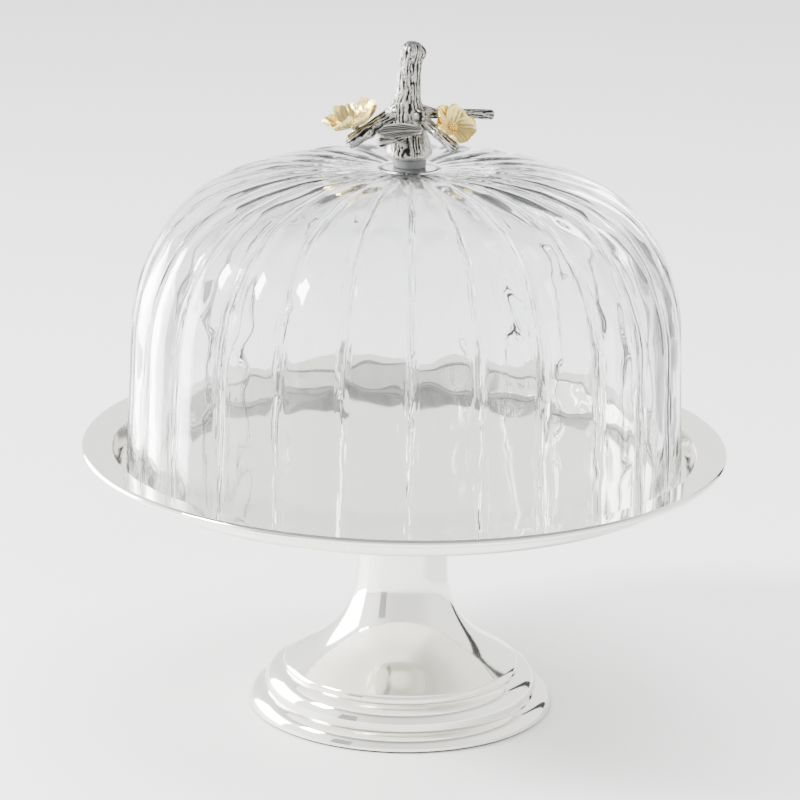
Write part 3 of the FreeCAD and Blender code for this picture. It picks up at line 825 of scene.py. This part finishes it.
class CAKESTAND_OT_finial(bpy.types.Operator):
    """The cast twig: boss, trunk, knot and branches with grooved bark"""

    bl_idname = "cakestand.finial"
    bl_label = "Twig finial"

    # A limb's end is a ball drawn back by a share of its radius and pressed flat by another.
    END_SETBACK, END_SQUASH = 0.7, 0.8
    # The boss in millimetres: its foot, its widest part and that one's height, its top and the
    # rounds below and above the widest part. The bark on it is cut within the last radius.
    BOSS_FOOT, BOSS_WIDEST, BOSS_WAIST, BOSS_CROWN = 8.9, 11.1, 3.0, 7.6
    BOSS_UNDER, BOSS_OVER, BOSS_REACH = 3.6, 30, 11.8
    CASTING_SEGMENTS = 40

    def execute(self, context):
        sizes = context.scene.finial_sizes
        mesh = self.blended(context, self.rough_form(), sizes.voxel)
        bm = bmesh.new()
        bm.from_mesh(mesh)
        bpy.data.meshes.remove(mesh)
        axes = {"use_axis_x": True, "use_axis_y": True, "use_axis_z": True}
        for _ in range(3):
            bmesh.ops.smooth_vert(bm, verts=bm.verts[:], factor=0.5, **axes)
        self.carve(bm, sizes)
        finish_piece("cast_twig_finial", bm, "dome", antique_silver, "twig_finial", sharp=math.radians(80))
        return {"FINISHED"}

    def rough_form(self):
        """All limbs as overlapping cones with a ball at each bend."""
        boss = Outline(0, 0).line(mm(self.BOSS_FOOT), 0)
        boss.arc(mm(self.BOSS_WIDEST), mm(self.BOSS_WAIST), mm(self.BOSS_UNDER))
        boss.arc(mm(self.BOSS_CROWN), mm(BOSS_TOP), mm(self.BOSS_OVER)).line(0, mm(BOSS_TOP))
        bm = turned(boss.points, steps=64)
        bmesh.ops.translate(bm, verts=bm.verts[:], vec=finial_place((BOSS_MIDDLE, 0, 0)))
        for limb in LIMBS.values():
            tip, tip_radius = limb[-1]
            aim = (Vector(tip) - Vector(limb[-2][0])).normalized()
            round_end = Vector(tip) - aim * tip_radius * self.END_SETBACK
            squash = Matrix.Diagonal((1, 1, self.END_SQUASH, 1))
            flat = aim.to_track_quat("Z", "Y").to_matrix().to_4x4() @ squash
            self.ball(bm, round_end, tip_radius, flat)
            for (a, thick), (b, thin) in zip(limb, [*limb[1:-1], (round_end, tip_radius)]):
                start, end = finial_place(a), finial_place(b)
                aim = (end - start).to_track_quat("Z", "Y").to_matrix().to_4x4()
                bmesh.ops.create_cone(
                    bm,
                    cap_ends=True,
                    segments=self.CASTING_SEGMENTS,
                    radius1=mm(thick),
                    radius2=mm(thin),
                    depth=(end - start).length,
                    matrix=Matrix.Translation((start + end) / 2) @ aim,
                )
            for point, radius in limb[1:-1]:
                self.ball(bm, point, radius)
        for knot in KNOTS:
            self.ball(bm, *knot)
        return bm

    def ball(self, bm, point, radius, squash=Matrix.Identity(4)):
        place = Matrix.Translation(finial_place(point)) @ squash
        bmesh.ops.create_icosphere(bm, subdivisions=4, radius=mm(radius), matrix=place)

    def blended(self, context, bm, voxel):
        """One closed skin around the rough form."""
        mesh = new_mesh("rough_form", bm)
        rough = new_object("rough_form", mesh)
        remesh = rough.modifiers.new("skin", "REMESH")
        remesh.mode, remesh.voxel_size = "VOXEL", voxel
        context.view_layer.update()
        skin = bpy.data.meshes.new_from_object(rough.evaluated_get(context.evaluated_depsgraph_get()))
        bpy.data.objects.remove(rough)
        bpy.data.meshes.remove(mesh)
        return skin

    def carve(self, bm, sizes):
        """Cuts the bark and notes how worn each point is: 0 in a groove, 1 on a ridge."""
        wear_and_painted_shade = bm.verts.layers.float.new("wear_and_painted_shade")
        spans = self.spans()
        base = foot("twig_finial")
        bm.normal_update()
        moves = []
        for vertex in bm.verts:
            point = (vertex.co - UP * base) / mm(1)
            groove = self.bark(point, spans, sizes.grain / mm(1))
            if point.z < BOSS_TOP:
                groove *= limited((point.z - 0.6) / 2.2)
            moves.append((vertex, -vertex.normal * sizes.groove * min(groove, 1.3)))
            rubbed = 0.5 + 0.5 * noise.noise(point * 0.7)
            vertex[wear_and_painted_shade] = limited(1.0 - 1.15 * groove - 0.5 * (1 - rubbed))
        for vertex, move in moves:
            vertex.co += move

    def spans(self):
        """Each limb's stretches: start, direction, side, length, radii, grooves' radius, length before."""
        spans = []
        for limb in LIMBS.values():
            before, mean = 0.0, sum(radius for _, radius in limb) / len(limb)
            side = (Vector(limb[-1][0]) - Vector(limb[0][0])).orthogonal()
            for (a, thick), (b, thin) in zip(limb, limb[1:]):
                run = Vector(b) - Vector(a)
                aim = run.normalized()
                across = (side - aim * side.dot(aim)).normalized()
                spans.append((Vector(a), aim, across, run.length, thick, thin, mean, before))
                before += run.length
        return spans

    def bark(self, point, spans, grain):
        """How deep a groove is at a point, from 0 to about 1."""
        side = point - Vector((BOSS_MIDDLE, 0, 0))
        if point.z < BOSS_TOP and side.xy.length < self.BOSS_REACH:
            angle = math.atan2(side.y, side.x)
            gashed = 0.12 + 1.3 * math.sin(angle) ** 4
            return gashed * self.ridges(angle, point.z, 10.0, grain * 1.15, 16.0)
        best = None
        for start, aim, across, size, thick, thin, mean, before in spans:
            along = min(max((point - start).dot(aim), 0.0), size)
            out = point - start - aim * along
            gap = out.length - (thick + (thin - thick) * along / size)
            if best is None or gap < best[0]:
                best = (gap, out, aim, across, before + along, mean)
        _, out, aim, across, along, mean = best
        if abs(out.normalized().dot(aim)) > 0.75:
            return 0.3 + 0.5 * noise.noise(point * 1.3)
        angle = math.atan2(out.dot(aim.cross(across)), out.dot(across))
        return self.ridges(angle, along, mean, grain, 14.0)

    def ridges(self, angle, along, radius, grain, stretch):
        """Long grooves that wander a little, deepen and run out, with finer lines between them."""
        count = max(6, round(2 * math.pi * radius / grain))
        ring = Vector((math.cos(angle), math.sin(angle), 0)) * radius / grain
        drift = 2.5 * noise.noise(ring * 0.45 + UP * (along / stretch))
        drift += 1.3 * noise.noise(ring * 0.9 + UP * (along / (0.28 * stretch) + 7))
        main = (1 - abs(math.sin(count * angle / 2 + drift))) ** 1.3
        fine = (1 - abs(math.sin(count * angle + 2.5 * drift + along * 0.3))) ** 2
        deep = 0.62 + 1.5 * noise.noise(ring * 0.9 + UP * (along / (0.32 * stretch) + 31))
        pits = max(0.0, noise.noise(ring * 2.6 + UP * (along / 0.9)) - 0.15)
        return min(max(deep, 0.05), 1.2) * main + 0.35 * fine + 0.9 * pits


# Flowers: the middle of the underside, the way it faces, the way one gap points, radius and depth.
FLOWERS = {
    "left": ((-26.4, -2.6, 15.0), (-0.33, -0.13, 0.935), (0.2, -1.0, -0.2), 14.4, 5.2),
    "right": ((19.2, -9.4, 16.4), (0.48, -0.50, 0.72), (-0.9, -0.4, 0.4), 11.6, 2.9),
}
PETALS = 5


class CAKESTAND_OT_flowers(bpy.types.Operator):
    """Two five-petalled flowers, each with a pin whose head is a cluster of stamens"""

    bl_idname = "cakestand.flowers"
    bl_label = "Flowers"

    ACROSS, ALONG = 26, 20
    BEADS, BEAD_TURN = 26, math.radians(137.5)

    def execute(self, context):
        sizes = context.scene.finial_sizes
        crisp = math.radians(60)
        for side, (middle, faces, gap, radius, depth) in FLOWERS.items():
            place = facing(middle, faces, gap)
            bm = bmesh.new()
            # On the flowers this attribute holds painted shade, not wear: it is low where shade falls.
            wear_and_painted_shade = bm.verts.layers.float.new("wear_and_painted_shade")
            for petal in range(PETALS):
                turn = Matrix.Rotation(2 * math.pi * (petal + 0.5) / PETALS, 4, "Z")
                self.petal(bm, wear_and_painted_shade, mm(radius), mm(depth), sizes.petal_gauge, place @ turn, petal)
            self.disc(bm, wear_and_painted_shade, mm(radius) * 0.28, sizes.petal_gauge, place)
            finish_piece(f"gilt_flower_{side}", bm, "dome", gold_wash, f"flower_{side}", sharp=crisp)
            bm = self.stamens(sizes.stamen_radius, place @ Matrix.Translation(UP * sizes.petal_gauge))
            finish_piece(f"gilt_stamens_{side}", bm, "dome", gold_wash, f"stamen_pin_{side}", sharp=crisp)
        return {"FINISHED"}

    def petal(self, bm, wear_and_painted_shade, radius, depth, gauge, place, number):
        """A broad rounded petal with ribs, a ruffled edge and one side lifted over its neighbour."""
        grid = bmesh.ops.create_grid(bm, x_segments=self.ALONG, y_segments=self.ACROSS, size=1)["verts"]
        for vertex in grid:
            t, s = (vertex.co.x + 1) / 2, vertex.co.y
            width = 0.49 * radius * math.sqrt(max(1 - ((t - 0.66) / 0.67) ** 2, 0.0))
            tip = 1 - 0.30 * abs(s) ** 2.2 + 0.01 * math.cos(3 * math.pi * s + number)
            along = radius * (0.10 + 0.88 * t * tip)
            ribs = math.cos(5 * math.pi * s + 0.8 * number) * t * (1 - s**4)
            height = depth * (0.12 + 0.88 * t**1.7) + 0.10 * radius * s * s * t + 0.09 * radius * s * t
            height += 0.018 * radius * ribs
            height += 0.015 * radius * t * t * math.sin(2 * math.pi * s + 1.7 * number)
            brim = max(abs(s) - 0.78, (t - 0.84) * 1.4, 0.0) / 0.22
            height += 0.05 * radius * t * brim * brim
            vertex.co = Vector((along, s * width, height))
            # Painted shade: the tone falls towards the petal's base in the flower's middle and into the
            # hollows between the ribs.
            vertex[wear_and_painted_shade] = limited(0.66 + 0.3 * ribs - 0.5 * (1 - t) ** 2 + 0.4 * brim)
        faces = list({f for v in grid for f in v.link_faces})
        made = bmesh.ops.solidify(bm, geom=faces, thickness=-gauge)["geom"]
        shell = {v for v in made if isinstance(v, bmesh.types.BMVert)} | set(grid)
        bmesh.ops.recalc_face_normals(bm, faces=list({f for v in shell for f in v.link_faces}))
        bmesh.ops.transform(bm, matrix=place, verts=list(shell))

    def disc(self, bm, wear_and_painted_shade, radius, gauge, place):
        """The solid middle that the petals grow from."""
        made = bmesh.ops.create_icosphere(bm, subdivisions=3, radius=1)["verts"]
        for vertex in made:
            x, y, z = vertex.co
            vertex.co = Vector((x * radius, y * radius, (z + 1) * gauge * 0.75))
            # Painted shade: the middle of the flower takes mostly the darker gold.
            vertex[wear_and_painted_shade] = 0.25
        bmesh.ops.transform(bm, matrix=place, verts=made)

    def stamens(self, radius, place):
        """A low dome set with small beads in a spiral."""
        bm = bmesh.new()
        # This attribute holds painted shade here, not wear.
        wear_and_painted_shade = bm.verts.layers.float.new("wear_and_painted_shade")
        dome = bmesh.ops.create_icosphere(bm, subdivisions=3, radius=radius * 0.8)["verts"]
        for vertex in dome:
            vertex.co.z = max(vertex.co.z, -radius * 0.2) * 0.8
            # Painted shade: the dome between the beads takes the darker gold, the beads the pale gold.
            vertex[wear_and_painted_shade] = 0.15
        for number in range(self.BEADS):
            tilt = math.acos(1 - 0.92 * (number + 0.5) / self.BEADS)
            turn = number * self.BEAD_TURN
            across = math.sin(tilt)
            spot = Vector((across * math.cos(turn), across * math.sin(turn), 0.8 * math.cos(tilt)))
            put = Matrix.Translation(spot * radius * 0.86)
            made = bmesh.ops.create_icosphere(bm, subdivisions=2, radius=radius * 0.19, matrix=put)["verts"]
            for vertex in made:
                vertex[wear_and_painted_shade] = 0.9
        bmesh.ops.transform(bm, matrix=place, verts=bm.verts[:])
        return bm


# The middle of the leaf, the way it faces and the way its tip points.
LEAF = ((-4.8, -13.2, 14.6), (0.0, -0.54, 0.84), (0.96, 0.0, 0.22))


class CAKESTAND_OT_leaf(bpy.types.Operator):
    """The veined leaf that lies along the front twig"""

    bl_idname = "cakestand.leaf"
    bl_label = "Leaf"

    VEINS = 4

    def execute(self, context):
        sizes = context.scene.finial_sizes
        bm = bmesh.new()
        wear_and_painted_shade = bm.verts.layers.float.new("wear_and_painted_shade")
        bmesh.ops.create_grid(bm, x_segments=64, y_segments=32, size=1)
        half, wide = sizes.leaf_length / 2, sizes.leaf_width / 2
        for vertex in bm.verts:
            t, s = vertex.co.x, vertex.co.y
            width = wide * (0.08 + 0.92 * max(1 - abs(t) ** 2.4, 0.0) ** 0.6) * (1 - 0.16 * t)
            rib = math.exp(-((s / 0.09) ** 2))
            vein = abs(math.sin(math.pi * self.VEINS * (0.35 * t + 0.8 * abs(s)))) ** 0.6
            edge = max(0.0, (abs(s) - 0.86) / 0.14)
            height = 0.16 * wide * s * s - 0.10 * half * t * t + 0.05 * wide * rib
            height += 0.10 * wide * (edge - (1 - vein) * (1 - edge) * (1 - rib))
            vertex.co = Vector((t * half, s * width, height))
            vertex[wear_and_painted_shade] = limited(vein * 0.7 + 0.7 * rib + 0.6 * edge - 0.2)
        bmesh.ops.solidify(bm, geom=bm.faces[:], thickness=-sizes.leaf_gauge)
        face_outwards(bm)
        bmesh.ops.transform(bm, matrix=facing(*LEAF), verts=bm.verts[:])
        finish_piece("cast_leaf", bm, "dome", antique_silver, "leaf", sharp=math.radians(60))
        return {"FINISHED"}


# Stage


class CAKESTAND_OT_stage(bpy.types.Operator):
    """A pale floor, soft studio light and the camera"""

    bl_idname = "cakestand.stage"
    bl_label = "Stage"

    DISTANCE, HEIGHT = 1.695, 0.641
    PITCH, ROLL, YAW = 0.2799, 0.0182, -0.0015
    LENS = 164.2
    ROOM = 3.0
    FLOOR_RADIUS = 4.0

    def execute(self, context):
        self.floor(context)
        self.room(context)
        self.lights()
        self.flags()
        self.camera(context)
        return {"FINISHED"}

    def floor(self, context):
        bm = bmesh.new()
        bmesh.ops.create_circle(bm, cap_ends=True, radius=self.FLOOR_RADIUS, segments=96)
        floor = new_object("floor", new_mesh("floor", bm))
        floor.data.materials.append(plain("pale_floor", context.scene.finishes.floor, 0.45))

    def lights(self):
        """A window, two soft lamps unseen in glass and metal, and two cards that glow only in them."""
        for name, place, size, power, shows in (
            ("window", (-1.6, -0.3, 1.32), (0.5, 0.42), 110, True),
            ("overhead", (0.2, 0.3, 2.2), (1.8, 1.8), 90, False),
            ("front_fill", (1.2, -2.2, 1.6), (1.6, 1.6), 40, False),
        ):
            lamp = self.lamp(name, place, (0, 0, 0.15), size, power)
            lamp.visible_glossy = lamp.visible_transmission = shows
        for name, place, target, size, power, in_metal in (
            ("low_card", (-0.47, 0.20, 0.16), (0, 0, 0.16), (0.40, 0.30), 8, True),
            ("right_glow", (0.33, 0.85, 0.30), (0, 0.5, 0.2), (0.22, 0.36), 1.5, False),
        ):
            glow = self.lamp(name, place, target, size, power)
            glow.visible_diffuse = glow.visible_camera = False
            glow.visible_glossy = in_metal

    def lamp(self, name, place, target, size, power):
        data = bpy.data.lights.new(name, "AREA")
        data.shape = "RECTANGLE"
        data.size, data.size_y = size
        data.energy = power
        lamp = new_object(name, data)
        lamp.location = place
        lamp.rotation_euler = (Vector(target) - lamp.location).to_track_quat("-Z", "Y").to_euler()
        return lamp

    def flags(self):
        """Dark cards, seen only in the glass, where they draw its edges, and some in the metal too."""
        tall, dark, grey, black = (0, 0, 0.65), "1A1A1A", "6A6A6A", "0A0A0A"
        for name, start, end, rise, shade, in_metal in (
            ("right_flag", (0.56, 0.68, 0.001), (0.66, 0.60, 0.001), tall, dark, True),
            ("front_bar", (-0.96, -0.80, 0.001), (-0.70, -1.02, 0.001), tall, "8A8A8A", True),
            ("left_mat", (-0.90, 0.28, 0.002), (-0.22, 0.28, 0.002), (-0.1, 0.82, 0), grey, False),
            ("far_right_flag", (0.60, 0.55, 0.001), (0.67, 0.22, 0.001), tall, grey, False),
            ("right_mat", (0.42, 0.32, 0.002), (0.95, 0.32, 0.002), (0.1, 0.7, 0), grey, False),
            ("front_overhead_flag", (-0.9, -1.2, 1.4), (0.9, -1.2, 1.4), (0, 0.9, 0), black, False),
            ("back_overhead_flag", (-0.9, 1.05, 1.4), (0.9, 1.05, 1.4), (0, 1.3, 0), black, False),
            ("front_card", (-0.7, -1.2, 0.32), (0.7, -1.2, 0.32), (0, 0, 0.6), "9A9A9A", False),
        ):
            bm = bmesh.new()
            edge = bm.edges.new([bm.verts.new(corner) for corner in (start, end)])
            made = bmesh.ops.extrude_edge_only(bm, edges=[edge])["geom"]
            bmesh.ops.translate(bm, verts=[v for v in made if isinstance(v, bmesh.types.BMVert)], vec=rise)
            flag = new_object(name, new_mesh(name, bm))
            flag.data.materials.append(plain(name, from_hex(shade), 0.9))
            flag.visible_camera = flag.visible_diffuse = flag.visible_shadow = False
            flag.visible_glossy = in_metal

    def room(self, context):
        """Pale walls, brighter on the left and a little dimmer in front, under a dark ceiling."""
        world = bpy.data.worlds.new("studio")
        world.use_nodes = True
        world.node_tree.nodes.clear()
        place = add_node(world, "ShaderNodeTexCoord").outputs["Generated"]
        parts = add_node(world, "ShaderNodeSeparateXYZ", {"Vector": place})
        strength = None
        for axis, start, end, first, last in (
            ("Y", -0.9, -0.2, 0.78 * self.ROOM, self.ROOM),
            ("Z", 0.5, 0.8, 1.0, 0.3),
            ("X", -0.95, -0.25, 1.5, 1.0),
        ):
            side = add_node(
                world,
                "ShaderNodeMapRange",
                {"Value": parts.outputs[axis]},
                interpolation_type="SMOOTHSTEP",
                From_Min=start,
                From_Max=end,
                To_Min=first,
                To_Max=last,
            ).outputs["Result"]
            if strength is None:
                strength = side
            else:
                links = {0: strength, 1: side}
                strength = add_node(world, "ShaderNodeMath", links, operation="MULTIPLY").outputs[0]
        glow = add_node(world, "ShaderNodeBackground", {"Strength": strength})
        add_node(world, "ShaderNodeOutputWorld", {"Surface": glow.outputs[0]})
        context.scene.world = world

    def camera(self, context):
        data = bpy.data.cameras.new("camera")
        data.lens = self.LENS
        camera = new_object("camera", data)
        aim = Matrix.Rotation(-self.YAW, 4, "Z") @ Matrix.Rotation(math.pi / 2 - self.PITCH, 4, "X")
        camera.location = (0, -self.DISTANCE, self.HEIGHT)
        camera.rotation_euler = (aim @ Matrix.Rotation(self.ROLL, 4, "Z")).to_euler()
        context.scene.camera = camera


OPERATORS = (
    CAKESTAND_OT_plate,
    CAKESTAND_OT_pedestal,
    CAKESTAND_OT_stand_fastening,
    CAKESTAND_OT_dome,
    CAKESTAND_OT_finial_fastening,
    CAKESTAND_OT_finial,
    CAKESTAND_OT_flowers,
    CAKESTAND_OT_leaf,
    CAKESTAND_OT_stage,
)
GROUPS = {
    "stand_sizes": StandSizes,
    "dome_sizes": DomeSizes,
    "finial_sizes": FinialSizes,
    "fastener_sizes": FastenerSizes,
    "finishes": Finishes,
}


class CAKESTAND_PT_panel(bpy.types.Panel):
    """Lists the pieces and their sizes"""

    bl_label = "Cake stand"
    bl_idname = "CAKESTAND_PT_panel"
    bl_space_type = "VIEW_3D"
    bl_region_type = "UI"
    bl_category = "Cake Stand"

    def draw(self, context):
        for operator in OPERATORS:
            self.layout.operator(operator.bl_idname)
        for group, kind in GROUPS.items():
            box = self.layout.box()
            for name in kind.__annotations__:
                box.prop(getattr(context.scene, group), name)


def register():
    for kind in (*GROUPS.values(), *OPERATORS, CAKESTAND_PT_panel):
        bpy.utils.register_class(kind)
    for name, kind in GROUPS.items():
        setattr(bpy.types.Scene, name, PointerProperty(type=kind))


def unregister():
    for name in GROUPS:
        delattr(bpy.types.Scene, name)
    for kind in reversed((*GROUPS.values(), *OPERATORS, CAKESTAND_PT_panel)):
        bpy.utils.unregister_class(kind)


def main():
    register()
    for operator in OPERATORS:
        family, name = operator.bl_idname.split(".")
        getattr(getattr(bpy.ops, family), name)()
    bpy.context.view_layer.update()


if __name__ == "__main__":
    main()
